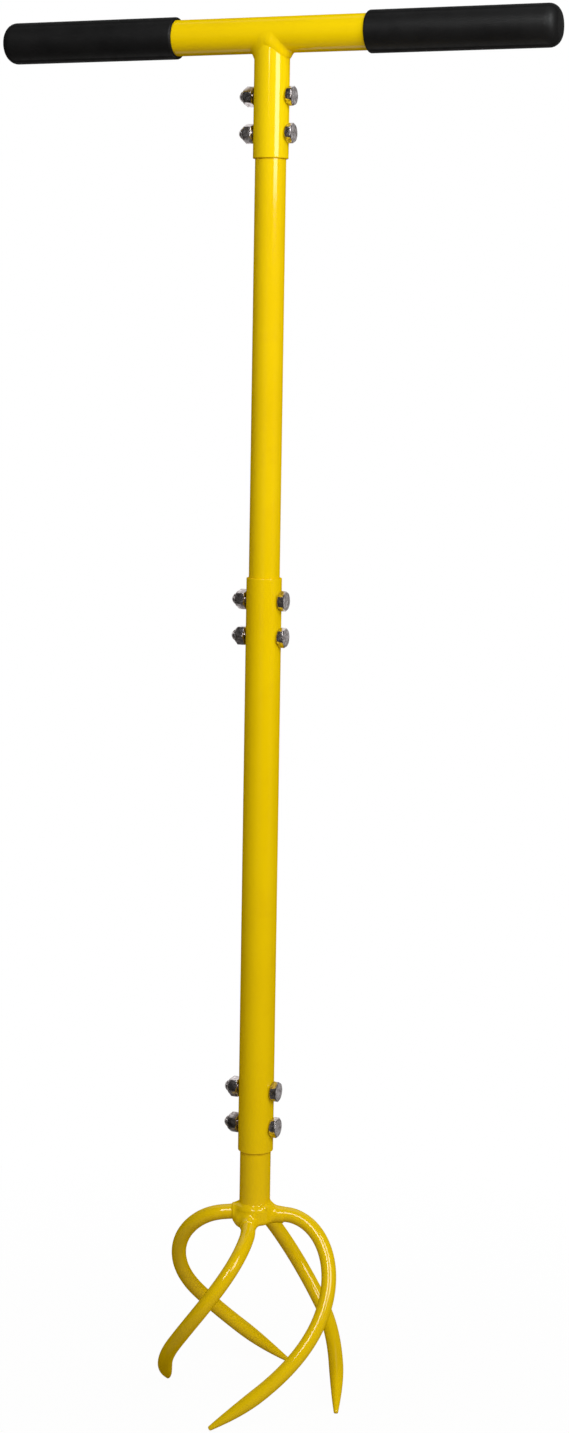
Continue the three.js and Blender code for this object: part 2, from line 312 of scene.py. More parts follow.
def about_x(points, degrees):
    """Turn points about the X axis."""
    angle = math.radians(degrees)
    x, y, z = np.moveaxis(np.asarray(points), -1, 0)
    c, s = math.cos(angle), math.sin(angle)
    return np.stack((x, c * y - s * z, s * y + c * z), axis=-1)


def half_turn(points):
    """Turn points half way round the Z axis."""
    return np.asarray(points) * np.array((-1, -1, 1))


def make(name, shape, material, slot, *nodes, sharp=CREASE):
    """A piece from (points, faces) in millimetres that stands for the named solids."""
    points, faces = shape
    mesh = bpy.data.meshes.new(name)
    mesh.from_pydata((np.asarray(points) * MM).tolist(), [], faces)
    mesh.update()
    mesh.shade_smooth()
    mesh.set_sharp_from_angle(angle=math.radians(sharp))
    mesh.materials.append(material)
    piece = bpy.data.objects.new(name, mesh)
    bpy.context.scene.collection.objects.link(piece)
    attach(piece, "root")
    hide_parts(*nodes)


def smooth_min(a, b, blend):
    """The smaller of two distances, with a fillet where they are near each other."""
    mix = np.clip(0.5 + 0.5 * (b - a) / blend, 0, 1)
    return b * (1 - mix) + a * mix - blend * mix * (1 - mix)


WAVE_TERMS = 6
WAVE_TURN = 2.4
WAVE_PHASE = 1.9
WAVE_PEAK = 1.6
WAVE_SIDE_SHARE = 1.7
WAVE_RISE_SHARE = 0.6


def waves(points, size, seed):
    """A smooth field between about -1 and 1, with bumps about one size apart."""
    total = np.zeros(points.shape[:-1])
    for i in range(WAVE_TERMS):
        lean = seed + WAVE_TURN * i
        side = math.sin(lean * WAVE_SIDE_SHARE)
        rise = math.sin(lean * WAVE_RISE_SHARE + 1)
        way = np.array((math.cos(lean), side, rise))
        total += np.sin(points @ way * TURN / size / np.linalg.norm(way) + WAVE_PHASE * i + seed)
    return total / math.sqrt(WAVE_TERMS) / WAVE_PEAK


# The four cells that share a grid edge, as steps back along the two other axes
AROUND_EDGE = ((1, 1), (0, 1), (0, 0), (1, 0))


def cells_beside(at, axis, step_back):
    """One of the four cells beside each grid edge."""
    cells = at.copy()
    cells[:, (axis + 1) % 3] -= step_back[0]
    cells[:, (axis + 2) % 3] -= step_back[1]
    return cells


def edges_cut(corners, value, axis, cell):
    """Grid edges along an axis that the surface cuts, where it cuts them and which start inside."""
    first = [slice(None)] * 3
    second = [slice(None)] * 3
    first[axis] = slice(None, -1)
    second[axis] = slice(1, None)
    first, second = tuple(first), tuple(second)
    starts_inside = value[first] < 0
    cut = starts_inside != (value[second] < 0)
    a, b = value[first][cut], value[second][cut]
    points = corners[first][cut].copy()
    points[:, axis] += cell * a / (a - b)
    return np.argwhere(cut), points, starts_inside[cut]


def surface_net(field, low, high, cell):
    """The zero surface of a distance field, as quads over a grid with one point in each cut cell."""
    counts = [int(math.ceil((high[i] - low[i]) / cell)) + 1 for i in range(3)]
    lines = [low[i] + cell * np.arange(counts[i]) for i in range(3)]
    corners = np.stack(np.meshgrid(*lines, indexing="ij"), axis=-1)
    value = field(corners)
    hits = np.zeros(tuple(count - 1 for count in counts))
    total = np.zeros(hits.shape + (3,))
    edges = []
    for axis in range(3):
        at, cuts, starts_inside = edges_cut(corners, value, axis, cell)
        edges.append((axis, at, starts_inside))
        for step_back in AROUND_EDGE:
            cells = cells_beside(at, axis, step_back)
            held = (cells >= 0).all(axis=1) & (cells < np.array(hits.shape)).all(axis=1)
            where = tuple(cells[held].T)
            np.add.at(total, where, cuts[held])
            np.add.at(hits, where, 1)
    used = hits > 0
    index = np.full(hits.shape, -1)
    index[used] = np.arange(used.sum())
    points = total[used] / hits[used][:, None]
    faces = []
    for axis, at, starts_inside in edges:
        quads = [index[tuple(cells_beside(at, axis, step_back).T)] for step_back in AROUND_EDGE]
        quads = np.stack(quads, axis=1)
        quads[~starts_inside] = quads[~starts_inside][:, ::-1]
        faces.extend(map(tuple, quads.tolist()))
    return settle(points, field), faces


def settle(points, field, nudge=0.05, rounds=2, flattest=0.2):
    """Move points onto the zero surface along its slope."""
    for _ in range(rounds):
        here = field(points)
        slope = np.empty_like(points)
        for axis in range(3):
            step = np.zeros(3)
            step[axis] = nudge
            slope[:, axis] = (field(points + step) - field(points - step)) / (2 * nudge)
        size = np.maximum((slope ** 2).sum(axis=1), flattest)
        points = points - slope * (here / size)[:, None]
    return points


# Material helpers

# Sockets of the mixing node that are for colours
MIX_SHARE = 0
MIX_FIRST = 6
MIX_SECOND = 7
MIX_RESULT = 2


class Graph:
    """A short way to write a node tree."""

    def __init__(self, name, world=False):
        owner = (bpy.data.worlds if world else bpy.data.materials).new(name)
        owner.use_nodes = True
        self.owner = owner
        self.tree = owner.node_tree
        self.tree.nodes.clear()

    def add(self, kind, inputs=None, **settings):
        """A node with its settings, and with each input linked or set."""
        node = self.tree.nodes.new(kind)
        for key, value in settings.items():
            setattr(node, key, value)
        for key, value in (inputs or {}).items():
            if isinstance(value, bpy.types.NodeSocket):
                self.tree.links.new(value, node.inputs[key])
            else:
                node.inputs[key].default_value = value
        return node

    def place(self):
        """The point being shaded, in metres."""
        return self.add("ShaderNodeTexCoord").outputs["Object"]

    def length(self, vector):
        """The length of a vector."""
        node = self.add("ShaderNodeVectorMath", {0: vector}, operation="LENGTH")
        return node.outputs["Value"]

    def noise(self, place, scale, detail=3.0, roughness=0.5):
        """Cloudy noise between zero and one, with scale lumps to the metre."""
        node = self.add("ShaderNodeTexNoise", {
            "Vector": place, "Scale": scale, "Detail": detail, "Roughness": roughness})
        return node.outputs["Fac"]

    def math(self, operation, a, b=0.0):
        """A sum on one or two values."""
        node = self.add("ShaderNodeMath", {0: a, 1: b}, operation=operation)
        return node.outputs[0]

    def span(self, value, limits, to):
        """A value between two limits, mapped to a range of its own."""
        node = self.add("ShaderNodeMapRange", {
            "Value": value, "From Min": limits[0], "From Max": limits[1],
            "To Min": to[0], "To Max": to[1]})
        return node.outputs["Result"]

    def share(self, value, limits, most=1.0):
        """How far a value has come between two limits, from zero to the most."""
        return self.span(value, limits, to=(0.0, most))

    def rim_fade(self, limits, to):
        """A value that changes from the middle of a round form towards its rims."""
        facing = self.add("ShaderNodeLayerWeight", {"Blend": 0.5}).outputs["Facing"]
        return self.span(facing, limits, to)

    def blend(self, share, first, second):
        """The first colour, with a share of the second."""
        inputs = {MIX_SHARE: share, MIX_FIRST: first, MIX_SECOND: second}
        return self.add("ShaderNodeMix", inputs, data_type="RGBA").outputs[MIX_RESULT]

    def bump(self, height, distance, strength, under=None):
        """A surface that is raised by the distance, in metres, where the height is one."""
        inputs = {"Height": height, "Distance": distance, "Strength": strength}
        if under is not None:
            inputs["Normal"] = under
        return self.add("ShaderNodeBump", inputs).outputs["Normal"]

    def finish(self, shader):
        """Give the shader to the material or world, and return that."""
        for_world = isinstance(self.owner, bpy.types.World)
        kind = "ShaderNodeOutputWorld" if for_world else "ShaderNodeOutputMaterial"
        self.add(kind, {"Surface": shader.outputs[0]})
        return self.owner


def grey(level):
    """A colour without hue."""
    return (level, level, level, 1.0)


YELLOW_DEEP = (0.82, 0.560, 0.0008, 1)
YELLOW_BRIGHT = (0.86, 0.605, 0.001, 1)
YELLOW_PATCH = (0.78, 0.505, 0.0008, 1)
# Lighter yellow laid on convex edges: a painted highlight, not a colour of the paint.
YELLOW_EDGE_HIGHLIGHT = (0.88, 0.66, 0.004, 1)
PAINT_GLOSS_TINT = (1.0, 0.85, 0.85, 1)
PAINT_RIM = (0.32, 0.54)


def powder_coat():
    """Glossy yellow powder coat with fine orange peel, and a painted highlight along its convex edges. Its
    gloss fades out towards the rims.
    """
    g = Graph("yellow_paint")
    place = g.place()
    drift = g.noise(place, scale=9.0, detail=2.0)
    patches = g.noise(place, scale=70.0, detail=4.0)
    swell = g.noise(place, scale=55.0, detail=1.0)
    peel = g.noise(place, scale=620.0, detail=2.0)
    grit = g.noise(place, scale=2600.0, detail=2.0)
    # Pointiness finds the convex edges, which are lightened towards the edge yellow below as a painted
    # highlight.
    edge = g.add("ShaderNodeNewGeometry").outputs["Pointiness"]
    base = g.blend(g.share(drift, (0.35, 0.65)), YELLOW_DEEP, YELLOW_BRIGHT)
    base = g.blend(g.share(patches, (0.55, 0.8), most=0.35), base, YELLOW_PATCH)
    base = g.blend(g.share(edge, (0.53, 0.60), most=0.25), base, YELLOW_EDGE_HIGHLIGHT)
    normal = g.bump(swell, distance=0.15 * MM, strength=0.15)
    normal = g.bump(peel, distance=0.010 * MM, strength=0.3, under=normal)
    normal = g.bump(grit, distance=0.003 * MM, strength=0.3, under=normal)
    shader = g.add("ShaderNodeBsdfPrincipled", {
        "Base Color": base,
        "Roughness": g.span(patches, (0.3, 0.7), to=(0.08, 0.11)),
        "Normal": normal,
        "Specular IOR Level": g.rim_fade(PAINT_RIM, to=(0.62, 0.0)),
        "Specular Tint": PAINT_GLOSS_TINT,
        "Coat Weight": g.rim_fade(PAINT_RIM, to=(0.3, 0.0)),
        "Coat Roughness": 0.07,
        "Coat Normal": normal,
    })
    return g.finish(shader)


BLACK_DEEP = (0.0055, 0.0055, 0.0060, 1)
BLACK_BLOOM = (0.0098, 0.0098, 0.0104, 1)
BLACK_PEBBLE = (0.015, 0.015, 0.016, 1)
RUBBER_RIM = (0.25, 0.5)


def grip_rubber():
    """Soft black foam rubber with a fine pebbled skin. Its gloss too fades towards the rims."""
    g = Graph("grip_rubber")
    place = g.place()
    bloom = g.noise(place, scale=30.0)
    dents = g.noise(place, scale=160.0)
    pebble = g.noise(place, scale=1300.0, roughness=0.6)
    cells = g.add("ShaderNodeTexVoronoi", {"Vector": place, "Scale": 1500.0}).outputs["Distance"]
    base = g.blend(g.share(bloom, (0.35, 0.7)), BLACK_DEEP, BLACK_BLOOM)
    base = g.blend(g.share(pebble, (0.5, 0.75), most=0.4), base, BLACK_PEBBLE)
    normal = g.bump(dents, distance=0.25 * MM, strength=0.35)
    normal = g.bump(pebble, distance=0.12 * MM, strength=0.5, under=normal)
    normal = g.bump(cells, distance=0.05 * MM, strength=0.35, under=normal)
    shader = g.add("ShaderNodeBsdfPrincipled", {
        "Base Color": base,
        "Roughness": g.span(dents, (0.3, 0.7), to=(0.40, 0.54)),
        "Normal": normal,
        "Specular IOR Level": g.rim_fade(RUBBER_RIM, to=(0.30, 0.008)),
        "Sheen Weight": 0.02,
        "Sheen Roughness": 0.5,
        "Sheen Tint": grey(0.5),
    })
    return g.finish(shader)


ZINC_DULL = (0.36, 0.31, 0.30, 1)
ZINC_BRIGHT = (0.88, 0.82, 0.83, 1)
ZINC_STAIN = (0.34, 0.28, 0.25, 1)
SCRATCH_STRETCH = (1.0, 7.0, 1.0)


def zinc_steel():
    """Bright zinc plate, mottled, with fine scratches."""
    g = Graph("zinc_steel")
    place = g.place()
    mottle = g.noise(place, scale=480.0, detail=4.0, roughness=0.6)
    drift = g.noise(place, scale=130.0)
    stretched = g.add("ShaderNodeMapping", {"Vector": place, "Scale": SCRATCH_STRETCH}).outputs[0]
    scratch = g.noise(stretched, scale=1800.0, roughness=0.7)
    base = g.blend(g.share(mottle, (0.4, 0.6)), ZINC_DULL, ZINC_BRIGHT)
    base = g.blend(g.share(drift, (0.5, 0.75), most=0.5), base, ZINC_STAIN)
    normal = g.bump(mottle, distance=0.06 * MM, strength=0.5)
    normal = g.bump(scratch, distance=0.01 * MM, strength=0.6, under=normal)
    shader = g.add("ShaderNodeBsdfPrincipled", {
        "Base Color": base,
        "Roughness": g.span(scratch, (0.3, 0.7), to=(0.12, 0.30)),
        "Normal": normal,
        "Metallic": g.span(drift, (0.42, 0.60), to=(0.93, 1.0)),
    })
    return g.finish(shader)


NYLON_DEEP = (0.60, 0.585, 0.52, 1)
NYLON_PALE = (0.74, 0.725, 0.66, 1)


def nylon():
    """Cloudy natural nylon."""
    g = Graph("nylon")
    cloud = g.noise(g.place(), scale=500.0)
    shader = g.add("ShaderNodeBsdfPrincipled", {
        "Base Color": g.blend(g.share(cloud, (0.3, 0.7)), NYLON_DEEP, NYLON_PALE),
        "Roughness": g.span(cloud, (0.3, 0.7), to=(0.35, 0.5)),
        "Normal": g.bump(cloud, distance=0.04 * MM, strength=0.5),
    })
    return g.finish(shader)


PAINT = powder_coat()
RUBBER = grip_rubber()
ZINC = zinc_steel()
NYLON = nylon()


# Tubes and grips

def tube(low, high, radius, wall):
    """An upright tube between two heights, open at both ends, with rounded rims."""
    bore = radius - wall
    inner = wall * INNER_ROUND_SHARE
    corners = [
        (radius, low, RIM_ROUND),
        (radius, low + RIM_HOLD, 0),
        (radius, high - RIM_HOLD, 0),
        (radius, high, RIM_ROUND),
        (bore, high, inner),
        (bore, low, inner),
    ]
    return spun(outline(corners), TUBE_SIDES)


def crossbar():
    """The handle's tube, laid along X."""
    points, faces = tube(BAR_LOW[0], BAR_HIGH[0], BAR_RADIUS, STEM_WALL)
    points = along_x(points) + np.array((0, 0, BAR_HEIGHT))
    return points, faces


def tee_socket():
    """The socket's tube, cut on top to sit under the round crossbar."""
    points, faces = tube(SOCKET_LOW[2], BAR_HEIGHT, SLEEVE_RADIUS, SLEEVE_WALL)
    reach = np.maximum(BAR_RADIUS ** 2 - points[:, 1] ** 2, 0)
    ceiling = BAR_HEIGHT - np.sqrt(reach + SADDLE_CREST ** 2) + SOCKET_SINK
    points[:, 2] = np.minimum(points[:, 2], ceiling)
    return points, faces


def grip():
    """A sleeve on the bar from its open lip to its rounded, closed end, along +X."""
    low, high = extent("grip_right")
    radius = (high[2] - low[2]) / 2
    bore = BAR_RADIUS + GRIP_BORE_GAP
    floor = high[0] - GRIP_END_WALL
    corners = [
        (bore, low[0], GRIP_INNER_ROUND),
        (radius, low[0], GRIP_LIP),
        (radius, low[0] + GRIP_LIP * LIP_HOLD_SHARE, 0),
        (radius, high[0] - GRIP_END_ROUND * END_HOLD_SHARE, 0),
        (radius, high[0], GRIP_END_ROUND),
        (GRIP_VENT, high[0], 0),
        (GRIP_VENT, floor, 0),
        (bore, floor, GRIP_INNER_ROUND),
    ]
    points, faces = spun(outline(corners, steps=GRIP_STEPS), GRIP_SIDES)
    return along_x(points) + np.array((0, 0, BAR_HEIGHT)), faces


# Tines

def outward(degrees):
    """The level way out of the shaft's axis, turned clockwise as seen from above."""
    angle = math.radians(degrees)
    return np.array((math.cos(-angle), math.sin(-angle), 0.0))


def onward(degrees):
    """The level way in which a tine sweeps round the axis there."""
    return outward(degrees + 90)


def tilted(level, degrees):
    """A level way tilted down."""
    angle = math.radians(degrees)
    return level * math.cos(angle) - UP * math.sin(angle)


def bezier(a, b, c, d):
    """Points along a cubic arc from a to d, pulled towards b and c."""
    t = np.linspace(0, 1, ARC_POINTS)[:, None]
    return a * (1 - t) ** 3 + 3 * b * t * (1 - t) ** 2 + 3 * c * t ** 2 * (1 - t) + d * t ** 3


def root_shift(bend, out):
    """How far a tine's root stands off its line, sideways and up, fading out with the distance."""
    left = np.clip((ROOT_SHIFT_END - out) / (ROOT_SHIFT_END - ROOT_SHIFT_FULL), 0, 1)
    fade = left * left * (3 - 2 * left)
    side, rise = bend["shift"]
    return np.multiply.outer(fade, np.array((0.0, side, rise)))


def tine_path(bend):
    """A tine's bend in its own frame, from its seat in the hub to its tip."""
    way = tilted(outward(0), bend["droop"])
    origin = UP * ARM_HEIGHT
    seat = origin + way * TINE_SEAT
    elbow = origin + way * ARM_REACH
    pull = SHOULDER_PULL * bend["pull_share"]
    waist = outward(WAIST_SWING) * WAIST_RADIUS + UP * WAIST_HEIGHT * bend["waist_share"]
    waist_way = tilted(onward(WAIST_SWING), WAIST_SLOPE)
    tip_height = TIP_RADIUS * math.cos(math.radians(TIP_DIVE)) - TIP_FLAT
    tip = outward(bend["swing"]) * TIP_CIRCLE + UP * tip_height
    tip_way = tilted(onward(bend["swing"] - TIP_FLARE), TIP_DIVE)
    shoulder = bezier(elbow, elbow + way * pull, waist - waist_way * WAIST_PULL_IN, waist)
    sweep = bezier(waist, waist + waist_way * WAIST_PULL_OUT, tip - tip_way * TIP_PULL, tip)
    return np.concatenate((seat[None], shoulder, sweep[1:]))


def tine_line(bend):
    """Centre line of a tine, evenly spaced and turned to its heading, and its radius along it."""
    path = tine_path(bend)
    steps = np.linalg.norm(np.diff(path, axis=0), axis=1)
    along = np.concatenate(((0.0,), np.cumsum(steps)))
    length = along[-1]
    nose_start = length - TIP_ROUND
    even = np.linspace(0, nose_start, int(length / TINE_STEP))
    nose = nose_start + TIP_ROUND * np.sin(np.linspace(NOSE_START_SHARE, 1, NOSE_STEPS) * TURN / 4)
    stations = np.concatenate((even, nose))
    line = np.stack([np.interp(stations, along, path[:, i]) for i in range(3)], axis=1)
    line += root_shift(bend, stations + TINE_SEAT)
    turn = math.radians(bend["heading"])
    c, s = math.cos(turn), math.sin(turn)
    x, y, z = line.T
    turned = np.stack((c * x - s * y, s * x + c * y, z), axis=1)
    left = np.minimum((length - stations) / TAPER_LENGTH, 1)
    radii = TIP_RADIUS + (TINE_RADIUS - TIP_RADIUS) * (1 - (1 - left) ** TAPER_POWER)
    into_nose = np.clip((stations - nose_start) / TIP_ROUND, 0, NOSE_CLOSED_SHARE)
    radii *= np.sqrt(1 - into_nose ** 2)
    return turned, radii


def swept(line, radii, sides):
    """Rings carried along a line without twisting."""
    ways = np.gradient(line, axis=0)
    ways /= np.linalg.norm(ways, axis=1)[:, None]
    side = np.cross(ways[0], UP)
    side /= np.linalg.norm(side)
    angles = np.arange(sides) * TURN / sides
    rings = []
    for centre, way, radius in zip(line, ways, radii):
        side = side - way * (side @ way)
        side /= np.linalg.norm(side)
        other = np.cross(way, side)
        ring = np.cos(angles)[:, None] * side + np.sin(angles)[:, None] * other
        rings.append(centre + ring * radius)
    return rings


def tine(bend):
    """A tapered round tine, faintly uneven under its paint, with a flat where it meets the ground."""
    line, radii = tine_line(bend)
    points, faces = loft(swept(line, radii, TINE_SIDES))
    points += TINE_WAVE * waves(points, TINE_WAVE_LENGTH, bend["heading"])[:, None] * UP
    points[:, 2] = np.maximum(points[:, 2], 0)
    return points, faces


# Welded hub

def arm_way(bend):
    """The way in which a tine's arm leaves the hub."""
    turn = math.radians(bend["heading"])
    level = np.array((math.cos(turn), math.sin(turn), 0.0))
    return tilted(level, bend["droop"])


def round_rod(points, bend, start, reach, over=0.0, flare=1.0):
    """Distance to a round rod out of the hub along a tine's arm, thicker until its last stretch."""
    turn = math.radians(bend["heading"])
    side, rise = bend["shift"]
    aside = np.array((-math.sin(turn), math.cos(turn), 0.0))
    local = points - UP * (ARM_HEIGHT + rise) - aside * side
    way = arm_way(bend)
    along = local @ way
    across = np.linalg.norm(local - along[..., None] * way, axis=-1)
    radius = TINE_RADIUS - UNDER_SKIN + over * np.clip((reach - along) / flare, 0, 1)
    return np.maximum(across - radius, np.maximum(start - along, along - reach))


def blob(points, heading, out, height, size):
    """Distance to a ball of weld."""
    turn = math.radians(heading)
    centre = np.array((math.cos(turn) * out, math.sin(turn) * out, height))
    return np.linalg.norm(points - centre, axis=-1) - size


def drum(across, height):
    """Distance to the rounded boss under the stem."""
    middle = (BOSS_TOP + BOSS_BOTTOM) / 2
    half = (BOSS_TOP - BOSS_BOTTOM) / 2 - BOSS_ROUND
    over = np.maximum(np.abs(height - middle) - half, 0)
    beyond = np.maximum(across - (BOSS_RADIUS - BOSS_ROUND), 0)
    return np.hypot(over, beyond) - BOSS_ROUND


def hub_field(points):
    """Boss, collars, welds and the roots of the stem and tines, run together."""
    across = np.hypot(points[..., 0], points[..., 1])
    height = points[..., 2]
    shape = drum(across, height)
    for bend in TINES:
        collar = round_rod(points, bend, COLLAR_ROOT, bend["reach"], bend["over"], bend["flare"])
        shape = smooth_min(shape, collar, HUB_BLEND)
    web = blob(points, WEB_HEADING, WEB_OUT, WEB_HEIGHT, WEB_SIZE)
    shape = smooth_min(shape, web, WEB_BLEND)
    stem = np.maximum(across - STEM_RADIUS + UNDER_SKIN, ARM_HEIGHT - height)
    stem = np.maximum(stem, height - STEM_TOP)
    shape = smooth_min(shape, stem, STEM_BLEND)
    first_rod = round_rod(points, TINES[0], 0, ROOT_REACH)
    gusset = (stem + first_rod - GUSSET) / math.sqrt(2)
    shape = smooth_min(shape, gusset, GUSSET_BLEND)
    for spot in WELD_SPOTS:
        shape = smooth_min(shape, blob(points, **spot), SPOT_BLEND)
    for bend in TINES:
        rod = round_rod(points, bend, 0, min(bend["reach"] + ROOT_OVERLAP, ROOT_REACH))
        shape = smooth_min(shape, rod, bend["soft"])
    return shape + HUB_WAVE * waves(points, HUB_WAVE_LENGTH, HUB_WAVE_SEED)


def hub():
    """The boss with everything that is welded to it, as one skin."""
    low = np.array((-HUB_NET_REACH, -HUB_NET_REACH, BOSS_BOTTOM - HUB_NET_DROP))
    high = np.array((HUB_NET_REACH, HUB_NET_REACH, STEM_TOP + NET_MARGIN))
    return surface_net(hub_field, low, high, NET_CELL)


def saddle_size(x):
    """The bead's radius, which grows from left to right and thins again at the right end."""
    across = x / SLEEVE_RADIUS
    rise = np.clip(SADDLE_MIDDLE_SHARE + SADDLE_RISE_SHARE * across, 0, 1)
    fade = 1 - SADDLE_FADE_SHARE * np.clip(across, 0, 1) ** 2
    return SADDLE_FAINT + (SADDLE_BEAD - SADDLE_FAINT) * rise * fade


def saddle_field(points):
    """A rounded bead along the line where the socket meets the crossbar."""
    x, y, z = points[..., 0], points[..., 1], points[..., 2] - BAR_HEIGHT
    out = np.hypot(x, y)
    around = np.arctan2(y, x)
    ring = SLEEVE_RADIUS - SADDLE_SINK * np.sin(around) ** 2 - SADDLE_INSET
    drop = np.sqrt((SLEEVE_RADIUS * np.cos(around)) ** 2 + SADDLE_CREST ** 2) - SADDLE_INSET
    steep = 1 + SADDLE_STEEP_SHARE * np.abs(np.sin(2 * around))
    sideways = (out - ring) / SADDLE_WIDTH_SHARE
    upward = (z + drop) / steep / SADDLE_HEIGHT_SHARE
    ripple = np.sin(SADDLE_RIPPLES * around + RIPPLE_DRIFT * np.sin(RIPPLE_DRIFTS * around))
    bead = np.hypot(sideways, upward) - saddle_size(x) - SADDLE_RIPPLE * ripple
    bar = np.hypot(y, z) - BAR_RADIUS + UNDER_SKIN
    socket = np.maximum(out - SLEEVE_RADIUS + UNDER_SKIN, z)
    shape = smooth_min(bead, bar, BAR_BLEND)
    left = np.clip(-x / SLEEVE_RADIUS, 0, 1)
    shape = smooth_min(shape, socket, SOCKET_BLEND + SOCKET_BLEND_LEFT * left)
    near = np.maximum(np.abs(x) - SADDLE_REACH, -z - SADDLE_DROP)
    return np.maximum(shape, near)


def saddle_weld():
    """The bead with the skin of bar and socket beside it."""
    low = np.array((-SADDLE_NET_REACH, -SADDLE_NET_WIDTH, BAR_HEIGHT - SADDLE_NET_DROP))
    high = np.array((SADDLE_NET_REACH, SADDLE_NET_WIDTH, BAR_HEIGHT + BAR_RADIUS + NET_MARGIN))
    return surface_net(saddle_field, low, high, NET_CELL)


# Bolts and lock nuts

HEX_ANGLES = np.arange(HEX_SIDES) * TURN / HEX_SIDES


def hex_radius():
    """Distance from the axis to a hexagon's sides, softened at the corners, at each angle."""
    sector = np.mod(HEX_ANGLES, TURN / 6) - TURN / 12
    flat = ACROSS_FLATS / 2 / np.cos(sector)
    corner = ACROSS_FLATS / 2 / math.cos(TURN / 12)
    return smooth_min(flat, np.full_like(flat, corner - HEX_CORNER_ROUND), HEX_BLEND)


def ring_at(radius, height):
    """A ring of points about Z, whose radius and height may differ from point to point."""
    radius = np.broadcast_to(radius, HEX_ANGLES.shape)
    height = np.broadcast_to(height, HEX_ANGLES.shape)
    return np.stack((radius * np.cos(HEX_ANGLES), radius * np.sin(HEX_ANGLES), height), axis=-1)


def hex_sides(bottom, top, inner_bottom, inner_top):
    """Rings up a hexagon's side between two turned 30 degree chamfers."""
    side = hex_radius()
    low_crease = bottom + np.maximum(side - inner_bottom, 0) * CHAMFER_SLOPE
    high_crease = top - np.maximum(side - inner_top, 0) * CHAMFER_SLOPE
    bite = EDGE_ROUND * EDGE_BITE_SHARE
    return [
        ring_at(inner_bottom, bottom),
        ring_at(side - EDGE_ROUND, low_crease - EDGE_ROUND * CHAMFER_SLOPE),
        ring_at(side - bite, low_crease),
        ring_at(side, low_crease + EDGE_ROUND),
        ring_at(side, high_crease - EDGE_ROUND),
        ring_at(side - bite, high_crease),
        ring_at(side - EDGE_ROUND, high_crease + EDGE_ROUND * CHAMFER_SLOPE),
        ring_at(inner_top, top),
    ]


def thread_rings():
    """Rings up the threaded end, cut by a helical groove that fades out at both ends."""
    heights = np.arange(0, THREAD_LENGTH + THREAD_STEP / 2, THREAD_STEP)
    rings = []
    for height in heights:
        phase = np.mod(height / THREAD_PITCH - HEX_ANGLES / TURN, 1)
        groove = np.abs(phase * 2 - 1)
        depth = THREAD_DEPTH * np.clip(THREAD_SLOPE * groove - THREAD_CREST, 0, 1)
        chamfer = max(TIP_CHAMFER - height, 0)
        fade = min(1, (THREAD_LENGTH - height) / THREAD_PITCH)
        radius = np.minimum(BOLT_RADIUS - depth * fade, BOLT_RADIUS - chamfer)
        rings.append(ring_at(radius, height - BOLT_TIP))
    return rings


def bolt():
    """A hex bolt along +Z: its tip below, its head's bearing face at zero."""
    top = ACROSS_FLATS / 2 * HEAD_TOP_SHARE
    rings = thread_rings()
    rings.append(ring_at(BOLT_RADIUS, -NECK_ROUND))
    rings.append(ring_at(BOLT_RADIUS + NECK_ROUND, 0))
    rings += hex_sides(0, HEAD_THICKNESS, ACROSS_FLATS / 2 * HEAD_FOOT_SHARE, top)
    rings.append(ring_at(top - HEAD_FACE_INSET, HEAD_THICKNESS))
    return loft(rings)


def lock_nut():
    """A hex nut whose collar domes over its nylon ring, hollow for bolt and ring, along +Z."""
    rings = hex_sides(0, NUT_HEX, ACROSS_FLATS / 2 * NUT_FOOT_SHARE, COLLAR_RADIUS)
    for angle in np.linspace(0, TURN / 4, DOME_STEPS):
        radius = COLLAR_MOUTH + (COLLAR_RADIUS - COLLAR_MOUTH) * math.cos(angle)
        rings.append(ring_at(radius, NUT_HEX + (NUT_LENGTH - NUT_HEX) * math.sin(angle)))
    cavity = RING_RADIUS + RING_GAP
    rings += [
        ring_at(COLLAR_MOUTH, RING_TOP + 3 * RING_GAP),
        ring_at(cavity, RING_TOP + RING_GAP),
        ring_at(cavity, RING_FOOT - RING_GAP),
        ring_at(NUT_BORE, RING_FOOT - 2 * RING_GAP),
        ring_at(NUT_BORE, NUT_BORE_CHAMFER),
        ring_at(NUT_BORE + NUT_BORE_CHAMFER, 0),
    ]
    return loft(rings, closed=True)


def nylon_ring():
    """The ring inside a lock nut's collar."""
    bore = BOLT_RADIUS + RING_FIT
    corners = [
        (RING_RADIUS, RING_FOOT, RING_ROUND),
        (RING_RADIUS, RING_TOP, RING_ROUND),
        (bore, RING_TOP, RING_ROUND),
        (bore, RING_FOOT, RING_ROUND),
    ]
    return spun(outline(corners), HEX_SIDES)


def add_fastener(name, shape, turn, height, material, slot, node):
    """A bolt, nut or ring from (points, faces) along X, turned about X and set at its height."""
    points, faces = shape
    points = about_x(points, -turn) + UP * height
    make(name, (points, faces), material, slot, node, sharp=STEEL_CREASE)


def add_hardware():
    """Two bolts through each joint, with heads at +X and nuts with their rings at -X."""
    seat = np.array((SEAT_DISTANCE, 0, 0))
    for joint in JOINTS:
        for i in range(2):
            tail = f"{joint['name']}_{i + 1}"
            low, high = extent(f"bolt_{tail}")
            height = (low[2] + high[2]) / 2
            points, faces = bolt()
            shape = (along_x(points) + seat, faces)
            add_fastener(f"hex_bolt_{tail}", shape, joint["heads"][i], height,
                         ZINC, "zinc_steel", f"bolt_{tail}")
            points, faces = lock_nut()
            shape = (half_turn(along_x(points) + seat), faces)
            add_fastener(f"domed_nut_{tail}", shape, joint["nuts"][i], height,
                         ZINC, "zinc_steel", f"lock_nut_{tail}")
            points, faces = nylon_ring()
            shape = (half_turn(along_x(points) + seat), faces)
            add_fastener(f"nylon_ring_{tail}", shape, joint["nuts"][i], height,
                         NYLON, "nylon", f"nylon_insert_{tail}")


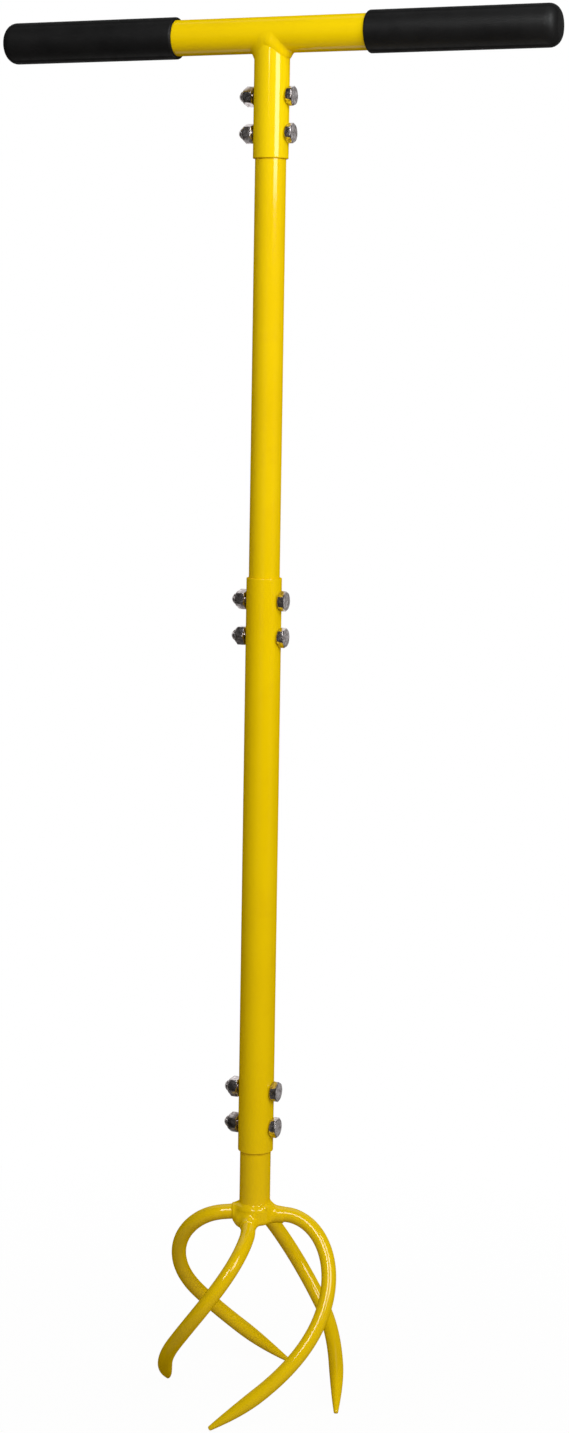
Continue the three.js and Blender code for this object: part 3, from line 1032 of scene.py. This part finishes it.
def add_tiller():
    """Handle, shaft and tine head."""
    make("bar_tube", crossbar(), PAINT, "yellow_paint", "crossbar")
    make("tee_tube", tee_socket(), PAINT, "yellow_paint", "tee_socket")
    make("saddle_bead", saddle_weld(), PAINT, "yellow_paint", "saddle_weld", sharp=WELD_CREASE)
    points, faces = grip()
    make("soft_grip_right", (points, faces), RUBBER, "grip_rubber", "grip_right")
    make("soft_grip_left", (half_turn(points), faces), RUBBER, "grip_rubber", "grip_left")
    shafts = (
        ("upper_shaft", UPPER_LOW, UPPER_HIGH, STEM_RADIUS, STEM_WALL, "upper_tube"),
        ("lower_shaft", LOWER_LOW, LOWER_HIGH, SLEEVE_RADIUS, SLEEVE_WALL, "lower_tube"),
        ("head_stem", STEM_LOW, STEM_HIGH, STEM_RADIUS, STEM_WALL, "tine_stem"),
    )
    for name, low, high, radius, wall, node in shafts:
        make(name, tube(low[2], high[2], radius, wall), PAINT, "yellow_paint", node)
    welds = [f"tine_weld_{i + 1}" for i in range(len(TINES))]
    make("welded_hub", hub(), PAINT, "yellow_paint", "hub_boss", "stem_weld", *welds,
         sharp=WELD_CREASE)
    for i, bend in enumerate(TINES):
        make(f"round_tine_{i + 1}", tine(bend), PAINT, "yellow_paint", f"tine_{i + 1}")


# Camera, floor and light

# From here on lengths are in metres, but for the photo's pixels and the sensor's millimetres
PHOTO_HEIGHT = 1433
FOCAL_PIXELS = 2534.6
AXIS_ROW = 473.38
CAMERA_DISTANCE = 1.80898
CAMERA_AZIMUTH = math.radians(22.924)
CAMERA_HEIGHT = 0.76119
CAMERA_PAN = math.radians(0.422)
CAMERA_PITCH = math.radians(2.842)
CAMERA_ROLL = math.radians(0.901)
SENSOR = 36.0
CLIP_END = 50


def add_camera():
    """The photo's camera, fitted to its edges: it stands level with a shift, then pans, dips and rolls."""
    ahead = Vector((-math.sin(CAMERA_AZIMUTH), math.cos(CAMERA_AZIMUTH), 0))
    right = Vector((math.cos(CAMERA_AZIMUTH), math.sin(CAMERA_AZIMUTH), 0))
    up = Vector((0, 0, 1))
    panned = ahead * math.cos(CAMERA_PAN) + right * math.sin(CAMERA_PAN)
    right = right * math.cos(CAMERA_PAN) - ahead * math.sin(CAMERA_PAN)
    ahead = panned * math.cos(CAMERA_PITCH) - up * math.sin(CAMERA_PITCH)
    up = up * math.cos(CAMERA_PITCH) + panned * math.sin(CAMERA_PITCH)
    rolled = right * math.cos(CAMERA_ROLL) + up * math.sin(CAMERA_ROLL)
    up = up * math.cos(CAMERA_ROLL) - right * math.sin(CAMERA_ROLL)
    data = bpy.data.cameras.new("camera")
    data.sensor_width = SENSOR
    data.lens = FOCAL_PIXELS / PHOTO_HEIGHT * SENSOR
    data.shift_y = (AXIS_ROW - PHOTO_HEIGHT / 2) / PHOTO_HEIGHT
    data.clip_end = CLIP_END
    camera = bpy.data.objects.new("camera", data)
    turn = Matrix((rolled, up, -ahead)).transposed().to_4x4()
    stand = Vector((
        CAMERA_DISTANCE * math.sin(CAMERA_AZIMUTH),
        -CAMERA_DISTANCE * math.cos(CAMERA_AZIMUTH),
        CAMERA_HEIGHT))
    camera.matrix_world = Matrix.Translation(stand) @ turn
    bpy.context.scene.collection.objects.link(camera)
    bpy.context.scene.camera = camera


# The floor's size and greys, and how it glows white with the distance from the shaft
FLOOR_HEIGHT = -0.0006
FLOOR_REACH = 6.0
FLOOR_PALE = 0.84
FLOOR_WHITE = 0.88
FLOOR_BOUNCE = (0.36, 0.34, 0.32, 1)
FLOOR_UNMIRRORED = 0.93
NEAR_GLOW = 0.97
NEAR_REACH = (0.10, 0.55)
POOL_RADIUS = 0.35
POOL_GLOW = 0.08
BACK_REACH = (0.15, 0.5)
BACKDROP_LEAN = (0.54, 0.95)


def behind(g, way):
    """How far a point or direction lies behind the object as the photo shows it."""
    back = (-math.sin(CAMERA_AZIMUTH), math.cos(CAMERA_AZIMUTH), 0.0)
    return g.add("ShaderNodeVectorMath", {0: way, 1: back}, operation="DOT_PRODUCT").outputs["Value"]


def seen_straight(g, path):
    """One for what the camera sees, also through glass."""
    return g.math("MAXIMUM", path["Is Camera Ray"], path["Is Transmission Ray"])


def floor_glow(g, place, path):
    """How white the floor is to the camera, and to mirror rays: a faint pool, and white far behind."""
    away = g.length(place)
    clear = g.span(away, NEAR_REACH, to=(NEAR_GLOW, 1.0))
    straight = g.math("MULTIPLY", seen_straight(g, path), clear)
    pool = g.span(away, (POOL_RADIUS, 2 * POOL_RADIUS), to=(POOL_GLOW, 0.0))
    lean = g.math("DIVIDE", behind(g, place), away)
    backdrop = g.math("MULTIPLY", g.share(lean, BACKDROP_LEAN), g.share(away, BACK_REACH))
    mirrored = g.math("MULTIPLY", g.math("MAXIMUM", pool, backdrop), path["Is Glossy Ray"])
    return g.math("MAXIMUM", straight, mirrored)


def pale_floor():
    """A pale, faintly mottled floor that keeps the object's shadow and throws little light back."""
    g = Graph("pale_floor")
    place = g.place()
    path = g.add("ShaderNodeLightPath").outputs
    seen = g.blend(g.noise(place, scale=40.0), grey(FLOOR_PALE), grey(FLOOR_WHITE))
    colour = g.blend(path["Is Camera Ray"], FLOOR_BOUNCE, seen)
    matte = g.add("ShaderNodeBsdfDiffuse", {"Color": colour})
    unlit = g.add("ShaderNodeEmission", {"Color": grey(0.0), "Strength": 0.0})
    white = g.add("ShaderNodeEmission", {"Color": grey(1.0), "Strength": 1.0})
    unmirrored = g.math("MULTIPLY", path["Is Glossy Ray"], FLOOR_UNMIRRORED)
    matte = g.add("ShaderNodeMixShader", {0: unmirrored, 1: matte.outputs[0], 2: unlit.outputs[0]})
    glow = floor_glow(g, place, path)
    shader = g.add("ShaderNodeMixShader", {0: glow, 1: matte.outputs[0], 2: white.outputs[0]})
    return g.finish(shader)


def add_floor():
    """A wide flat floor just under the tips."""
    mesh = bpy.data.meshes.new("floor")
    ways = ((-1, -1), (1, -1), (1, 1), (-1, 1))
    corners = [(x * FLOOR_REACH, y * FLOOR_REACH, FLOOR_HEIGHT) for x, y in ways]
    mesh.from_pydata(corners, [], [(0, 1, 2, 3)])
    mesh.materials.append(pale_floor())
    floor = bpy.data.objects.new("floor", mesh)
    bpy.context.scene.collection.objects.link(floor)


# The studio's brightness to matt surfaces, and to mirror rays that go to the front and to the back
AMBIENT = 0.20
AMBIENT_TINT = (0.86, 0.80, 0.6, 1)
MIRRORED_FRONT = 0.03
MIRRORED_BACK = 1.0
STEEP_GAIN = 0.7


def add_world():
    """White to the camera; to mirror rays white behind and above the object and dark in front of it."""
    g = Graph("studio", world=True)
    way = g.add("ShaderNodeTexCoord").outputs["Generated"]
    level = g.add("ShaderNodeVectorMath", {0: way, 1: (1.0, 1.0, 0.0)}, operation="MULTIPLY")
    steep = g.math("SUBTRACT", 1.0, g.length(level.outputs[0]))
    lean = g.math("ADD", behind(g, way), g.math("MULTIPLY", steep, STEEP_GAIN))
    mirrored = g.span(lean, BACKDROP_LEAN, to=(MIRRORED_FRONT, MIRRORED_BACK))
    path = g.add("ShaderNodeLightPath").outputs
    strength = g.math("MULTIPLY", path["Is Glossy Ray"], mirrored)
    strength = g.math("MAXIMUM", strength, seen_straight(g, path))
    strength = g.math("MAXIMUM", strength, g.math("MULTIPLY", path["Is Diffuse Ray"], AMBIENT))
    tint = g.blend(path["Is Diffuse Ray"], grey(1.0), AMBIENT_TINT)
    shader = g.add("ShaderNodeBackground", {"Color": tint, "Strength": strength})
    bpy.context.scene.world = g.finish(shader)


# Soft boxes: azimuths in degrees round the object, from the front towards +X, and heights of their edges.
# One that isn't mirrored lights the object but doesn't show in its gloss.
LAMPS = (
    {"name": "key_box", "azimuth": 60, "distance": 1.5, "width": 0.72, "low": 0.96, "high": 2.4,
     "watts": 17.0, "tint": (0.97, 1.0, 1.0)},
    {"name": "high_strip", "azimuth": 12, "distance": 1.6, "width": 0.6, "low": 1.30, "high": 2.2,
     "watts": 9.5, "tint": (0.97, 1.0, 1.0)},
    {"name": "thin_strip", "azimuth": 4, "distance": 1.5, "width": 0.14, "low": 1.12, "high": 2.65,
     "watts": 3.3, "tint": (1.0, 1.0, 1.0)},
    {"name": "front_wash", "azimuth": 40, "distance": 1.9, "width": 1.0, "low": 1.2, "high": 2.2,
     "watts": 14.0, "tint": (0.95, 1.0, 1.0), "mirrored": False},
    {"name": "low_front_wash", "azimuth": 8, "distance": 1.9, "width": 1.0, "low": 0.0, "high": 1.0,
     "watts": 4.2, "tint": (1.0, 0.72, 0.6), "mirrored": False},
    {"name": "low_right_wash", "azimuth": 85, "distance": 1.9, "width": 1.0, "low": 0.0, "high": 1.0,
     "watts": 6.2, "tint": (1.0, 0.82, 0.7), "mirrored": False},
    {"name": "back_wash", "azimuth": 203, "distance": 1.9, "width": 0.8, "low": 0.3, "high": 2.0,
     "watts": 14.0, "tint": (1.0, 1.0, 1.0), "mirrored": False},
)


def add_lamp(name, azimuth, distance, width, low, high, watts, tint, mirrored=True):
    """An upright soft box that faces the shaft."""
    angle = math.radians(azimuth)
    way = Vector((math.sin(angle), -math.cos(angle), 0))
    data = bpy.data.lights.new(name, "AREA")
    data.shape = "RECTANGLE"
    data.size = width
    data.size_y = high - low
    data.energy = watts
    data.color = tint
    lamp = bpy.data.objects.new(name, data)
    lamp.location = way * distance + Vector((0, 0, (low + high) / 2))
    lamp.rotation_euler = way.to_track_quat("Z", "Y").to_euler()
    lamp.visible_glossy = mirrored
    bpy.context.scene.collection.objects.link(lamp)


def add_light():
    """All the soft boxes."""
    for lamp in LAMPS:
        add_lamp(**lamp)


add_camera()
add_tiller()
add_hardware()
add_floor()
add_world()
add_light()

scene = bpy.context.scene
scene.view_settings.view_transform = "Standard"
